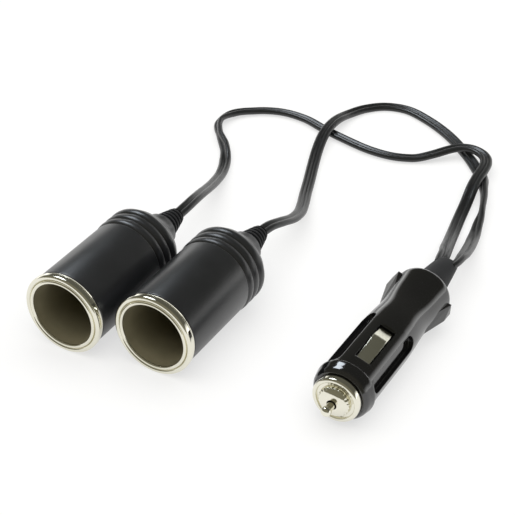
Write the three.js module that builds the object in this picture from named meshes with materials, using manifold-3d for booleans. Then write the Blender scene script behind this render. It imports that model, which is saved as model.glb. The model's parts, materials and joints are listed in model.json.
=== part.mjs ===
// A car socket splitter: one 12 V plug feeding two in-line sockets through two flat twin cords.
// Millimetres, +Z up. It lies on the plane z = 0 with every plug and socket axis along +Y,
// mouths and nose towards -Y, and the origin below the middle of the plug and sockets together.

import * as THREE from "three";
import { mergeVertices } from "three/addons/utils/BufferGeometryUtils.js";
import { ConvexGeometry } from "three/addons/geometries/ConvexGeometry.js";
import Module from "manifold-3d";

const wasm = await Module();
wasm.setup();

// Fits shared by all pieces
const GAP = 0.3; // running clearance between neighbouring pieces
const SIDES = 28; // facets round a large turned surface
const SMALL_SIDES = 16; // facets round a small one

// Where the three main assemblies lie: X of the axis, Y of the mouth or of the plug's collar edge
const LEFT_SOCKET = { x: -46.4, mouthY: -48.8 };
const RIGHT_SOCKET = { x: -13.9, mouthY: -43.4 };
const PLUG = { x: 50.2, collarY: -30.6, rollDeg: 19 };

// Socket: bore and rolled rim of the contact sleeve
const BORE_R = 10.85;
const BORE_DEPTH = 36;
const SLEEVE_WALL = 0.5;
const SHELL_R = 14.5;
const RIM_R = SHELL_R + 0.5; // the rim stands this much over the shell that it closes
const RIM_DEPTH = 2.6;
const LIP_R = 11.8; // radius of the opening at the lip
const LIP_STAND = 0.6; // how far the rim's beads stand before the mouth plane
const LIP_BEAD_R = 0.45; // the thin inner bead
const LIP_BEAD_BACK = 0.1; // how far it stays behind the outer bead
const LIP_BEAD_END_DEG = 330;
const RIM_BEAD_START_DEG = 195;
const BEAD_STEPS = 5;

// Socket: moulded shell
const SHELL_SMOOTH_END = 37.4; // the ribs begin here
const RIB_COUNT = 3;
const RIB_PITCH = 3.7;
const RIB_STAND = 0.4;
const RIB_GROOVE = 0.5;
const DOME_LENGTH = 11.4;
const DOME_END_R = 6.3;
const SHELL_BACK_WALL = 3;
const WIRING_R = 9; // hollow behind the insulator, where the terminals sit

// Socket: strain relief
const SOCKET_RELIEF_LENGTH = 10.2; // what shows behind the dome
const SOCKET_RELIEF_R = 5.5;
const SOCKET_RELIEF_END_R = 3.1;
const SOCKET_RELIEF_RINGS = 5;
const SOCKET_RELIEF_NECK_R = 3.4; // where it passes through the shell
const SOCKET_RELIEF_FLANGE_R = 5.2;
const SOCKET_RELIEF_FLANGE = 1.6;

// Socket: contacts
const INSULATOR_THICK = 2;
const CONTACT_R = 3.6;
const CONTACT_STAND = 2.2;
const RIVET_R = 1.2;
const TAB_THICK = 0.6;
const TAB_WIDTH = 4.8;
const TAB_LENGTH = 7;

// Plug case, measured back from the collar's edge
const CASE_FRONT = -4.5;
const CASE_REAR = 60;
const COLLAR_R = 10.4;
const CASE_FACE_R = 8.9;
const BARREL_R = 9.8;
const LAND_END = 24.4; // the barrel's lands end and the grip begins here
const SLOPE_Y = 33.4; // the grip stays nearly straight to here, then narrows to its neck
const SLOPE_DROP = 0.3;
const NECK_R = 8.95;
const NECK_Y = 43;
const GRIP_REAR_R = 10.2;
const REAR_BEVEL = 1.1;
const LAND_R = 9.3;
const PARTING = 0.15; // each half stays this far from the parting plane

// Plug case: grooves on both sides of each land, windows for the side contacts
const GROOVE_ANGLE_DEG = 57;
const GROOVE_WIDTH = 5.6;
const GROOVE_FLOOR_R = 7.7;
const GROOVE_FRONT = 1.2;
const GROOVE_REAR = 30.5;
const WINDOW_WIDTH = 5.8;
const WINDOW_FRONT = 5.4;
const WINDOW_REAR = 23.9;
const CHANNEL_FRONT = -1.9;
const CHANNEL_FLOOR_R = 5.3;

// Plug case: hollows along the axis
const NOSE_BORE_R = 6.1;
const NOSE_BORE_END = 0.4;
const FUSE_BORE_R = 3.7;
const FUSE_BORE_END = 38;
const TAB_BORE_R = 2;
const LEAD_ROOM_START = 41;
const LEAD_ROOM_END = 55.6;
const LEAD_ROOM_R = 6;

// Plug case: stop wings beside the grip
const WING_FRONT = 41;
const WING_EDGE_FRONT = 48.6;
const WING_PEAK = 52.5;
const WING_REAR = 57.4;
const WING_REACH = 11.8;
const WING_EDGE_REACH = 10.7;
const WING_HALF_WIDTH = 3.8;

// Plug nose
const RING_R = 8.2;
const RING_THICK = 2.6;
const RING_ROUND = 0.9;
const RING_LAND = 1.5; // width of the ring's front face, outside its groove
const RING_GROOVE_DEPTH = 0.9;
const CAP_R = 5.5;
const CAP_STAND = 1; // how far the knurled cap stands before the ring's face
const CAP_DOME = 1.1;
const CAP_KNURLS = 24;
const KNURL_DEPTH = 0.22;
const PIN_HOLE_R = 1.75;
const PIN_R = 1.35;
const PIN_HEAD_R = 1.65;
const PIN_FLAT_R = 0.75;
const PIN_HEAD_LENGTH = 2.1;
const PIN_STAND = 5; // how far the pin stands before the cap
const PIN_FLANGE_R = 3;
const PIN_FLANGE = 1.1;

// Fuse and spring behind the pin
const FUSE_R = 3.1;
const FUSE_LENGTH = 30;
const FUSE_CAP_LENGTH = 6;
const FUSE_CAP_WALL = 0.25;
const SPRING_WIRE_R = 0.35;
const SPRING_TURNS = 5;
const SPRING_SIDES = 6;
const SPRING_STEPS_A_TURN = 9;
const PLATE_THICK = 1;

// Side contacts: a flat foot under the collar and an arched leaf in the window
const LEAF_WIDTH = 4.9;
const LEAF_THICK = 0.45;
const LEAF_ROOF_R = 8.5; // underside of the case above the foot
const LEAF_PEAK_R = 10.1;
const LEAF_PEAK = 16.8;
const LEAF_TIP_R = 8.2;

// Case screw, through the lower half into the upper one
const SCREW_Y = 46.5;
const SCREW_R = 1.25;
const SCREW_HEAD_R = 2.5;
const SCREW_HEAD = 1.6;
const SCREW_BOSS_R = 2.7;
const SCREW_SLOT = 0.7;

// Plug strain relief, a long taper that both cords leave side by side
const TAPER_LENGTH = 19.7;
const TAPER_R = 6.2;
const TAPER_END_WIDTH = 8.4;
const TAPER_END_HEIGHT = 5;
const TAPER_NECK_R = 3.9;
const TAPER_FLANGE_R = 5.4;
const TAPER_FLANGE = 1.5;

// Flat twin cord
const CORD_WIDTH = 5;
const CORD_HEIGHT = 2.4;
const CORD_SECTION_SIDES = 8;
const CORD_STEPS = 56;

// Each cord's route, from its socket's strain relief over the floor to the plug's
const LEFT_CORD_ROUTE = [
  [-46.4, 21.9, 15], [-46.7, 28.5, 14.8], [-47.7, 36, 13.9], [-49.5, 44, 11.8],
  [-52, 53, 8.7], [-55.2, 63, 5.3], [-58.6, 73, 2.6], [-62.6, 82.5, 1.5],
  [-68.3, 92, 1.6], [-76, 100.6, 2.2], [-81.8, 110, 2.5], [-80.4, 120, 2.1],
  [-73.2, 127.8, 1.4], [-63, 132.1, 1.3], [-51.5, 131.7, 1.3], [-40.5, 127.9, 1.3],
  [-28.5, 124.4, 1.3], [-15.5, 121.6, 1.3], [-5, 121.8, 1.3], [3.4, 125, 1.5],
  [9.4, 129.4, 2.8], [14.4, 134.4, 4], [17.9, 137.2, 4.5], [22.3, 138.4, 4.7],
  [26.7, 137.3, 4.7], [30.2, 134.5, 4.7], [32.2, 130.4, 4.7], [33.1, 125, 4.7],
  [33.6, 118, 4.6], [34.4, 111, 4.1],
  [35.6, 102.5, 2.1], [37.3, 92, 1.4], [39.6, 81, 2.2], [42.2, 70.5, 4.6],
  [44.8, 61, 7.8], [46.7, 54.5, 9.7], [47.5, 49.7, 10.2],
];
const RIGHT_CORD_ROUTE = [
  [-13.9, 27.3, 15], [-13.5, 33.5, 14.4], [-12.7, 41, 12.3], [-12.6, 49, 9.3],
  [-14.4, 58, 6.4], [-17.8, 67, 4.1], [-22, 77, 2.3], [-26.2, 88, 1.5],
  [-30.2, 98.5, 1.5], [-33.8, 109, 2.4], [-36.2, 118.5, 3.8], [-37.3, 126.5, 4.3],
  [-37.6, 135, 3.7], [-36.8, 144, 2.1], [-33.4, 152.8, 1.4], [-26.6, 159.3, 1.3],
  [-17, 161.3, 1.3], [-5, 157.1, 1.3], [6.6, 150.3, 1.3], [16.2, 142.5, 1.3],
  [25.6, 133.3, 1.3], [33.4, 123.6, 1.3], [39, 112.5, 1.3], [42.8, 101.5, 1.3],
  [45.6, 90, 1.5], [48.2, 79, 2.8], [50.6, 68.5, 5.6], [52.2, 60, 8.3],
  [52.9, 54.3, 9.8], [52.9, 49.7, 10.2],
];

// Finishes
const finish = (color, roughness, metalness) =>
  new THREE.MeshStandardMaterial({ color, roughness, metalness });
const softBlack = finish(0x1c1d20, 0.55, 0);
const glossBlack = finish(0x101114, 0.15, 0);
const cordBlack = finish(0x1a1b1e, 0.4, 0);
const nickel = finish(0xcfc9b4, 0.2, 1);
const brass = finish(0xb0924d, 0.3, 1);
const steel = finish(0xa8aaad, 0.3, 1);
const board = finish(0x5a3d24, 0.7, 0);
const glass = finish(0xdfe8e6, 0.05, 0);

// A closed geometry, with its shared vertices merged, as a solid that can be cut and joined
function solid(geometry) {
  const bare = geometry.index ? geometry.toNonIndexed() : geometry.clone();
  bare.deleteAttribute("normal");
  bare.deleteAttribute("uv");
  const merged = mergeVertices(bare, 1e-4);
  const mesh = new wasm.Mesh({
    numProp: 3,
    vertProperties: new Float32Array(merged.attributes.position.array),
    triVerts: new Uint32Array(merged.index.array),
  });
  return new wasm.Manifold(mesh);
}

function geometryOf(manifold) {
  const mesh = manifold.getMesh();
  const geometry = new THREE.BufferGeometry();
  const positions = new Float32Array(mesh.numVert * 3);
  for (let i = 0; i < mesh.numVert; i += 1) {
    for (let k = 0; k < 3; k += 1) positions[3 * i + k] = mesh.vertProperties[mesh.numProp * i + k];
  }
  geometry.setAttribute("position", new THREE.BufferAttribute(positions, 3));
  geometry.setIndex(new THREE.BufferAttribute(mesh.triVerts, 1));
  geometry.computeVertexNormals();
  return geometry;
}

// A turned solid about the Y axis from [radius, y] points listed from the front to the back
// along its outside, and back along its inside if it is hollow
function turned(points, sides = SIDES) {
  const profile = points.map(([r, y]) => new THREE.Vector2(r, y));
  const onAxis = points[0][0] === 0 && points.at(-1)[0] === 0;
  if (!onAxis) profile.push(profile[0].clone());
  return solid(new THREE.LatheGeometry(profile, sides));
}

const cylinder = (r, from, to, sides = SMALL_SIDES) =>
  turned([[0, from], [r, from], [r, to], [0, to]], sides);

// A quarter or half round as profile points, centre [r, y], angles in degrees from +r towards +y
function round(r, y, radius, fromDeg, toDeg, steps) {
  return Array.from({ length: steps + 1 }, (_, i) => {
    const angle = THREE.MathUtils.degToRad(fromDeg + ((toDeg - fromDeg) * i) / steps);
    return [r + radius * Math.cos(angle), y + radius * Math.sin(angle)];
  });
}

// An even sampling of a smooth profile through the given [radius, y] points
function smooth(points, steps) {
  const curve = new THREE.SplineCurve(points.map(([r, y]) => new THREE.Vector2(r, y)));
  return curve.getPoints(steps).map((p) => [p.x, p.y]);
}

// A box given by its lowest and highest corner
function block(low, high) {
  const size = high.map((v, k) => v - low[k]);
  const geometry = new THREE.BoxGeometry(...size);
  geometry.translate(...low.map((v, k) => v + size[k] / 2));
  return solid(geometry);
}

// A side profile of [y, z] points extruded across X, centred on x = 0
function extrudedAcross(profile, width) {
  const shape = new THREE.Shape(profile.map(([y, z]) => new THREE.Vector2(y, z)));
  const geometry = new THREE.ExtrudeGeometry(shape, { depth: width, bevelEnabled: false });
  geometry.rotateY(Math.PI / 2);
  geometry.rotateX(Math.PI / 2);
  geometry.translate(-width / 2, 0, 0);
  return solid(geometry);
}

function piece(name, manifold, material) {
  const mesh = new THREE.Mesh(geometryOf(manifold), material);
  mesh.name = name;
  return mesh;
}

// Socket: contact sleeve, a drawn cup with a double bead rolled outwards at its mouth
function contactSleeve() {
  const outer = BORE_R + SLEEVE_WALL;
  const lip = (LIP_R + SLEEVE_WALL + RIM_R) / 2 - 1.1;
  const beadR = (RIM_R - lip) / 2;
  const innerY = LIP_BEAD_BACK + LIP_BEAD_R - LIP_STAND;
  return turned([
    [BORE_R, BORE_DEPTH],
    [BORE_R, 3],
    [LIP_R, 0.9],
    ...round(LIP_R + LIP_BEAD_R, innerY, LIP_BEAD_R, 180, LIP_BEAD_END_DEG, BEAD_STEPS - 2),
    [lip - 0.05, 0.35],
    ...round(RIM_R - beadR, -LIP_STAND + beadR, beadR, RIM_BEAD_START_DEG, 360, BEAD_STEPS),
    [RIM_R, RIM_DEPTH - 1],
    [RIM_R - 0.3, RIM_DEPTH - 0.7],
    [RIM_R - 0.2, RIM_DEPTH - 0.45],
    [RIM_R - 0.45, RIM_DEPTH],
    [outer, RIM_DEPTH],
    [outer, BORE_DEPTH],
  ]);
}

const RIBS_END = SHELL_SMOOTH_END + RIB_COUNT * RIB_PITCH;
const DOME_END = RIBS_END + DOME_LENGTH;

// Socket: shell with its ribs and domed end, moulded over the sleeve
function socketShell() {
  const inner = BORE_R + SLEEVE_WALL + GAP;
  const front = RIM_DEPTH + GAP;
  const boreEnd = BORE_DEPTH + INSULATOR_THICK + GAP;
  const ribs = [];
  for (let i = 0; i < RIB_COUNT; i += 1) {
    const y = SHELL_SMOOTH_END + i * RIB_PITCH;
    ribs.push(
      [SHELL_R - RIB_GROOVE, y + 0.3],
      [SHELL_R + 0.5 * RIB_STAND, y + 0.8],
      [SHELL_R + RIB_STAND, y + 1.6],
      [SHELL_R + 0.5 * RIB_STAND, y + RIB_PITCH - 0.4],
    );
  }
  const dome = smooth(
    [
      [SHELL_R - RIB_GROOVE, RIBS_END + 0.3],
      [SHELL_R - 1.9, RIBS_END + 2.2],
      [SHELL_R - 5, RIBS_END + 0.38 * DOME_LENGTH],
      [DOME_END_R + 1, RIBS_END + 0.68 * DOME_LENGTH],
      [DOME_END_R, DOME_END],
    ],
    8,
  );
  return turned([
    [inner, front],
    [SHELL_R - 0.3, front],
    [SHELL_R, front + 0.4],
    [SHELL_R, SHELL_SMOOTH_END],
    ...ribs,
    ...dome,
    [SOCKET_RELIEF_NECK_R + GAP, DOME_END],
    [SOCKET_RELIEF_NECK_R + GAP, DOME_END - SHELL_BACK_WALL],
    [SOCKET_RELIEF_FLANGE_R + GAP, DOME_END - SHELL_BACK_WALL],
    [SOCKET_RELIEF_FLANGE_R + GAP, RIBS_END + 0.3 * DOME_LENGTH],
    [WIRING_R, RIBS_END],
    [WIRING_R, boreEnd],
    [inner, boreEnd],
  ]);
}

// A ringed strain relief behind a plane: a taper cut by grooves, whose neck and flange lie inside
function ringedRelief() {
  const start = DOME_END + GAP;
  const flangeBack = DOME_END - SHELL_BACK_WALL - GAP;
  const step = SOCKET_RELIEF_LENGTH / SOCKET_RELIEF_RINGS;
  const radius = (y) =>
    THREE.MathUtils.mapLinear(y, start, start + SOCKET_RELIEF_LENGTH, SOCKET_RELIEF_R, SOCKET_RELIEF_END_R);
  const rings = [];
  for (let i = 0; i < SOCKET_RELIEF_RINGS; i += 1) {
    const y = start + i * step;
    rings.push(
      [radius(y), y],
      [radius(y + 0.62 * step), y + 0.62 * step],
      [radius(y + 0.7 * step) - 0.6, y + 0.7 * step],
      [radius(y + step) - 0.6, y + 0.95 * step],
    );
  }
  const end = start + SOCKET_RELIEF_LENGTH;
  return turned(
    [
      [0, flangeBack - SOCKET_RELIEF_FLANGE],
      [SOCKET_RELIEF_FLANGE_R, flangeBack - SOCKET_RELIEF_FLANGE],
      [SOCKET_RELIEF_FLANGE_R, flangeBack],
      [SOCKET_RELIEF_NECK_R, flangeBack],
      [SOCKET_RELIEF_NECK_R, start],
      ...rings,
      [SOCKET_RELIEF_END_R, end],
      [0, end],
    ],
    SMALL_SIDES,
  );
}

// Socket: insulating disc that closes the sleeve, pierced for the rivet
function insulatorDisc() {
  const r = BORE_R + SLEEVE_WALL;
  const from = BORE_DEPTH + GAP;
  return turned([
    [RIVET_R + GAP, from],
    [r, from],
    [r, from + INSULATOR_THICK - GAP],
    [RIVET_R + GAP, from + INSULATOR_THICK - GAP],
  ]);
}

// Socket: sprung centre contact, a shallow cup that meets the plug's pin
function centreContact() {
  const back = BORE_DEPTH;
  const front = back - CONTACT_STAND;
  return turned(
    [
      [0, front + 0.4],
      [CONTACT_R - 1.4, front],
      [CONTACT_R - 0.6, front],
      [CONTACT_R, front + 0.6],
      [CONTACT_R, back],
      [CONTACT_R - 0.6, back],
      [CONTACT_R - 0.6, front + 0.9],
      [RIVET_R + 0.9, front + 1],
      [0, front + 1],
    ],
    SMALL_SIDES,
  );
}

// Socket: rivet that holds the centre contact and its terminal to the disc
function centreRivet() {
  const head = BORE_DEPTH - CONTACT_STAND + 1 + GAP;
  const tail = BORE_DEPTH + INSULATOR_THICK + 2 * GAP + TAB_THICK + GAP;
  return turned(
    [
      [0, head],
      [RIVET_R + 0.8, head],
      [RIVET_R + 0.8, head + 0.6],
      [RIVET_R, head + 0.6],
      [RIVET_R, tail],
      [RIVET_R + 0.8, tail],
      [RIVET_R + 0.4, tail + 0.7],
      [0, tail + 0.7],
    ],
    SMALL_SIDES,
  );
}

// Socket: a terminal strip behind the disc with a tab bent back for its lead
function terminal(holeR, holeX, tabX) {
  const from = BORE_DEPTH + INSULATOR_THICK + GAP;
  const half = TAB_WIDTH / 2;
  const low = Math.min(holeX, tabX) - half;
  const high = Math.max(holeX, tabX) + half;
  const strip = block([low, from, -half], [high, from + TAB_THICK, half]);
  const tabSide = tabX > holeX ? high - TAB_THICK : low;
  const tab = block([tabSide, from, -half], [tabSide + TAB_THICK, from + TAB_LENGTH, half]);
  const bent = strip.add(tab);
  if (!holeR) return bent;
  const hole = cylinder(holeR, from - 1, from + TAB_THICK + 1).translate([holeX, 0, 0]);
  return bent.subtract(hole);
}

function socket(side, place) {
  const group = new THREE.Group();
  const earthX = -(WIRING_R - GAP - 0.5 - TAB_WIDTH / 2);
  group.add(
    piece(`${side}_socket_shell`, socketShell(), softBlack),
    piece(`${side}_socket_strain_relief`, ringedRelief(), softBlack),
    piece(`${side}_socket_contact_sleeve`, contactSleeve(), nickel),
    piece(`${side}_socket_insulator_disc`, insulatorDisc(), board),
    piece(`${side}_socket_centre_contact`, centreContact(), brass),
    piece(`${side}_socket_centre_rivet`, centreRivet(), brass),
    piece(`${side}_socket_live_terminal`, terminal(RIVET_R + GAP, 0, 3.4), brass),
    piece(`${side}_socket_earth_terminal`, terminal(0, earthX, earthX), brass),
  );
  group.position.set(place.x, place.mouthY, RIM_R);
  return group;
}

// Plug case: outer form, turned, before its grooves and windows are cut
function caseBody() {
  const collar = smooth(
    [
      [CASE_FACE_R, CASE_FRONT],
      [CASE_FACE_R + 0.8, CASE_FRONT + 1.2],
      [COLLAR_R - 0.25, CASE_FRONT + 3],
      [COLLAR_R, -0.4],
    ],
    4,
  );
  const grip = smooth(
    [
      [BARREL_R, LAND_END + 3],
      [BARREL_R - SLOPE_DROP, SLOPE_Y],
      [NECK_R, NECK_Y],
      [GRIP_REAR_R - 0.6, CASE_REAR - 8],
      [GRIP_REAR_R, CASE_REAR - REAR_BEVEL],
    ],
    9,
  );
  return turned([
    [0, CASE_FRONT],
    ...collar,
    [COLLAR_R, 0.3],
    [BARREL_R, 1],
    ...grip,
    [GRIP_REAR_R - REAR_BEVEL, CASE_REAR],
    [0, CASE_REAR],
  ]);
}

// Plug case: the hollow along the axis, as one turned form
const caseHollow = () =>
  turned(
    [
      [0, CASE_FRONT - 1],
      [NOSE_BORE_R, CASE_FRONT - 1],
      [NOSE_BORE_R, NOSE_BORE_END],
      [FUSE_BORE_R, NOSE_BORE_END],
      [FUSE_BORE_R, FUSE_BORE_END],
      [TAB_BORE_R, FUSE_BORE_END],
      [TAB_BORE_R, LEAD_ROOM_START],
      [LEAD_ROOM_R, LEAD_ROOM_START],
      [LEAD_ROOM_R, LEAD_ROOM_END],
      [TAPER_NECK_R + GAP, LEAD_ROOM_END],
      [TAPER_NECK_R + GAP, CASE_REAR + 1],
      [0, CASE_REAR + 1],
    ],
    SMALL_SIDES + 8,
  );

// Plug case: a long groove with round ends, cut from outside down to its flat floor
function sideGroove(angleDeg) {
  const r = GROOVE_WIDTH / 2;
  const shape = new THREE.Shape();
  shape.absarc(0, GROOVE_FRONT + r, r, Math.PI, 2 * Math.PI, false);
  shape.absarc(0, GROOVE_REAR - r, r, 0, Math.PI, false);
  const reach = COLLAR_R + 3;
  const geometry = new THREE.ExtrudeGeometry(shape, {
    depth: reach - GROOVE_FLOOR_R,
    bevelEnabled: false,
    curveSegments: 7,
  });
  geometry.translate(0, 0, GROOVE_FLOOR_R);
  return solid(geometry).rotate([0, angleDeg, 0]);
}

// Plug case: a land is planed flat between its two grooves, and holds a window over a channel
function landCut() {
  const half = WINDOW_WIDTH / 2;
  const reach = COLLAR_R + 3;
  const plane = block([-reach / 2, 1, LAND_R], [reach / 2, LAND_END, reach]);
  const window = block([-half, WINDOW_FRONT, CHANNEL_FLOOR_R], [half, WINDOW_REAR, reach]);
  const channel = block([-half, CHANNEL_FRONT, CHANNEL_FLOOR_R], [half, WINDOW_REAR, LEAF_ROOF_R]);
  return plane.add(window).add(channel);
}

// Plug case: a stop wing, a keel-like wedge that rises towards the rear
function stopWing() {
  const inside = NECK_R - 2;
  const edgeR = Math.sqrt(NECK_R ** 2 - WING_HALF_WIDTH ** 2);
  const points = [
    [NECK_R - 0.1, WING_FRONT, 0],
    [WING_REACH - 0.1, WING_PEAK, 0],
    [WING_REACH, WING_REAR, 0],
    [inside, WING_REAR, 0],
  ];
  for (const z of [-WING_HALF_WIDTH, WING_HALF_WIDTH]) {
    points.push(
      [edgeR, WING_EDGE_FRONT, z],
      [WING_EDGE_REACH, WING_REAR, z],
      [inside, WING_REAR, z],
      [inside, WING_EDGE_FRONT, z],
    );
  }
  return solid(new ConvexGeometry(points.map((p) => new THREE.Vector3(...p))));
}

// Plug case: both halves before they are parted, with the screw's boss standing in the hollow
function wholeCase() {
  let body = caseBody();
  for (const turn of [0, 180]) {
    body = body.add(stopWing().rotate([0, turn, 0]));
    for (const side of [-1, 1]) {
      body = body.subtract(sideGroove(turn + side * GROOVE_ANGLE_DEG));
    }
    body = body.subtract(landCut().rotate([0, turn, 0]));
  }
  const boss = upright(SCREW_BOSS_R, -LEAD_ROOM_R - 1, LEAD_ROOM_R + 1);
  return body.subtract(caseHollow()).add(boss);
}

// A cylinder along the plug's own upright axis, at the screw
function upright(r, from, to) {
  const geometry = new THREE.CylinderGeometry(r, r, to - from, SMALL_SIDES);
  geometry.rotateX(Math.PI / 2);
  geometry.translate(0, SCREW_Y, (from + to) / 2);
  return solid(geometry);
}

const SCREW_HEAD_BOTTOM = -(NECK_R - 0.8);
const SCREW_TIP = 5.6;

function upperCase(whole) {
  const reach = 2 * WING_REACH;
  const half = block([-reach, CASE_FRONT - 5, PARTING], [reach, CASE_REAR + 5, reach]);
  return whole.intersect(half).subtract(upright(SCREW_R + GAP, -1, SCREW_TIP + GAP));
}

function lowerCase(whole) {
  const reach = 2 * WING_REACH;
  const half = block([-reach, CASE_FRONT - 5, -reach], [reach, CASE_REAR + 5, -PARTING]);
  const seat = SCREW_HEAD_BOTTOM + SCREW_HEAD;
  return whole
    .intersect(half)
    .subtract(upright(SCREW_R + GAP, seat - 1, 1))
    .subtract(upright(SCREW_HEAD_R + GAP, -reach, seat + GAP));
}

// Plug: the screw that joins the halves, with a crossed slot in its head
function caseScrew() {
  const head = upright(SCREW_HEAD_R, SCREW_HEAD_BOTTOM, SCREW_HEAD_BOTTOM + SCREW_HEAD);
  const shank = upright(SCREW_R, SCREW_HEAD_BOTTOM, SCREW_TIP);
  const arm = 0.75 * SCREW_HEAD_R;
  const slot = block(
    [-arm, SCREW_Y - SCREW_SLOT / 2, SCREW_HEAD_BOTTOM - 1],
    [arm, SCREW_Y + SCREW_SLOT / 2, SCREW_HEAD_BOTTOM + 0.6 * SCREW_HEAD],
  );
  const cross = block(
    [-SCREW_SLOT / 2, SCREW_Y - arm, SCREW_HEAD_BOTTOM - 1],
    [SCREW_SLOT / 2, SCREW_Y + arm, SCREW_HEAD_BOTTOM + 0.6 * SCREW_HEAD],
  );
  return head.add(shank).subtract(slot).subtract(cross);
}

const RING_BACK = CASE_FRONT - GAP;
const RING_FRONT = RING_BACK - RING_THICK;
const CAP_FRONT = RING_FRONT - CAP_STAND - CAP_DOME;
const FLANGE_FRONT = RING_BACK - 0.4;
const FLANGE_BACK = FLANGE_FRONT + PIN_FLANGE;
const FUSE_FRONT = FLANGE_BACK + GAP;
const FUSE_BACK = FUSE_FRONT + FUSE_LENGTH;

// Plug: nose ring, screwed into the case, with a knurled cap round the pin's hole
function noseRing() {
  const spigot = NOSE_BORE_R - GAP;
  const groove = RING_R - RING_LAND;
  const chamber = PIN_FLANGE_R + GAP;
  const body = turned([
    [PIN_HOLE_R, CAP_FRONT],
    [PIN_HOLE_R + 0.7, CAP_FRONT],
    [0.75 * CAP_R, RING_FRONT - CAP_STAND - 0.45 * CAP_DOME],
    [CAP_R, RING_FRONT - CAP_STAND],
    [CAP_R, RING_FRONT + RING_GROOVE_DEPTH],
    [groove, RING_FRONT + RING_GROOVE_DEPTH],
    [groove, RING_FRONT + 0.2],
    [groove + 0.2, RING_FRONT],
    ...round(RING_R - RING_ROUND, RING_FRONT + RING_ROUND, RING_ROUND, -90, 0, 4),
    [RING_R, RING_BACK],
    [spigot, RING_BACK],
    [spigot, NOSE_BORE_END - GAP],
    [chamber, NOSE_BORE_END - GAP],
    [chamber, FLANGE_FRONT - GAP],
    [PIN_HOLE_R, FLANGE_FRONT - GAP],
  ]);
  let knurled = body;
  for (let i = 0; i < CAP_KNURLS; i += 1) {
    const notch = block(
      [-0.18, CAP_FRONT - 1, CAP_R - KNURL_DEPTH],
      [0.18, RING_FRONT + 0.4, CAP_R + 0.4],
    );
    knurled = knurled.subtract(notch.rotate([0, (360 * i) / CAP_KNURLS, 0]));
  }
  return knurled;
}

// Plug: centre pin, its domed head flat at the tip, kept in by a flange inside the ring
function centrePin() {
  const tip = CAP_FRONT - PIN_STAND;
  return turned(
    [
      [0, tip],
      [PIN_FLAT_R, tip],
      [0.85 * PIN_HEAD_R, tip + 0.5],
      [PIN_HEAD_R, tip + 1.1],
      [PIN_HEAD_R, tip + PIN_HEAD_LENGTH],
      [PIN_R, tip + PIN_HEAD_LENGTH + 0.4],
      [PIN_R, FLANGE_FRONT],
      [PIN_FLANGE_R, FLANGE_FRONT],
      [PIN_FLANGE_R, FLANGE_BACK],
      [0, FLANGE_BACK],
    ],
    SMALL_SIDES,
  );
}

// Fuse: one of the two metal cups on the ends of its glass tube, closed at the end called closedY
function fuseCap(closedY, openY) {
  const inner = FUSE_R - FUSE_CAP_WALL;
  const floorY = closedY + Math.sign(openY - closedY) * FUSE_CAP_WALL;
  const outside = [[0, closedY], [FUSE_R, closedY], [FUSE_R, openY]];
  const inside = [[inner, openY], [inner, floorY], [0, floorY]];
  const profile = [...outside, ...inside];
  return turned(closedY < openY ? profile : profile.reverse(), SMALL_SIDES);
}

// Fuse: the glass tube
function fuseGlass() {
  const r = FUSE_R - FUSE_CAP_WALL - GAP;
  const margin = FUSE_CAP_WALL + GAP;
  return turned(
    [
      [r - 0.6, FUSE_FRONT + margin],
      [r, FUSE_FRONT + margin],
      [r, FUSE_BACK - margin],
      [r - 0.6, FUSE_BACK - margin],
    ],
    SMALL_SIDES,
  );
}

// Plug: coil spring between the fuse and the live plate
function pinSpring() {
  const from = FUSE_BACK + GAP + SPRING_WIRE_R;
  const to = FUSE_BORE_END - GAP - PLATE_THICK - GAP - SPRING_WIRE_R;
  const r = FUSE_R - SPRING_WIRE_R;
  class Helix extends THREE.Curve {
    getPoint(t, target = new THREE.Vector3()) {
      const angle = 2 * Math.PI * SPRING_TURNS * t;
      return target.set(r * Math.cos(angle), from + (to - from) * t, r * Math.sin(angle));
    }
  }
  const section = new THREE.Shape();
  section.absarc(0, 0, SPRING_WIRE_R, 0, 2 * Math.PI, false);
  const outline = new THREE.Shape(section.getPoints(SPRING_SIDES).slice(0, SPRING_SIDES));
  return solid(
    new THREE.ExtrudeGeometry(outline, {
      steps: SPRING_TURNS * SPRING_STEPS_A_TURN,
      extrudePath: new Helix(),
      bevelEnabled: false,
    }),
  );
}

// Plug: live plate behind the spring, with a tail for its lead
function livePlate() {
  const back = FUSE_BORE_END - GAP;
  const plate = cylinder(FUSE_R + 0.2, back - PLATE_THICK, back);
  const tail = block([-1.3, back - PLATE_THICK / 2, -0.3], [1.3, LEAD_ROOM_START + 2.2, 0.3]);
  return plate.add(tail);
}

// Plug: side contact, whose foot lies under the collar and whose leaf arches out of the window
function sideContact() {
  const foot = LEAF_ROOF_R - GAP;
  const knee = WINDOW_FRONT + 0.9;
  const top = [
    [CHANNEL_FRONT + GAP, foot],
    [knee, foot],
    [LEAF_PEAK - 1.6, LEAF_PEAK_R - 0.25],
    [LEAF_PEAK, LEAF_PEAK_R],
    [LEAF_PEAK + 1.6, LEAF_PEAK_R - 0.3],
    [WINDOW_REAR - 0.6, LEAF_TIP_R],
  ];
  const under = top.map(([y, z]) => [y, z - LEAF_THICK]).reverse();
  return extrudedAcross([...top, ...under], LEAF_WIDTH);
}

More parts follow.
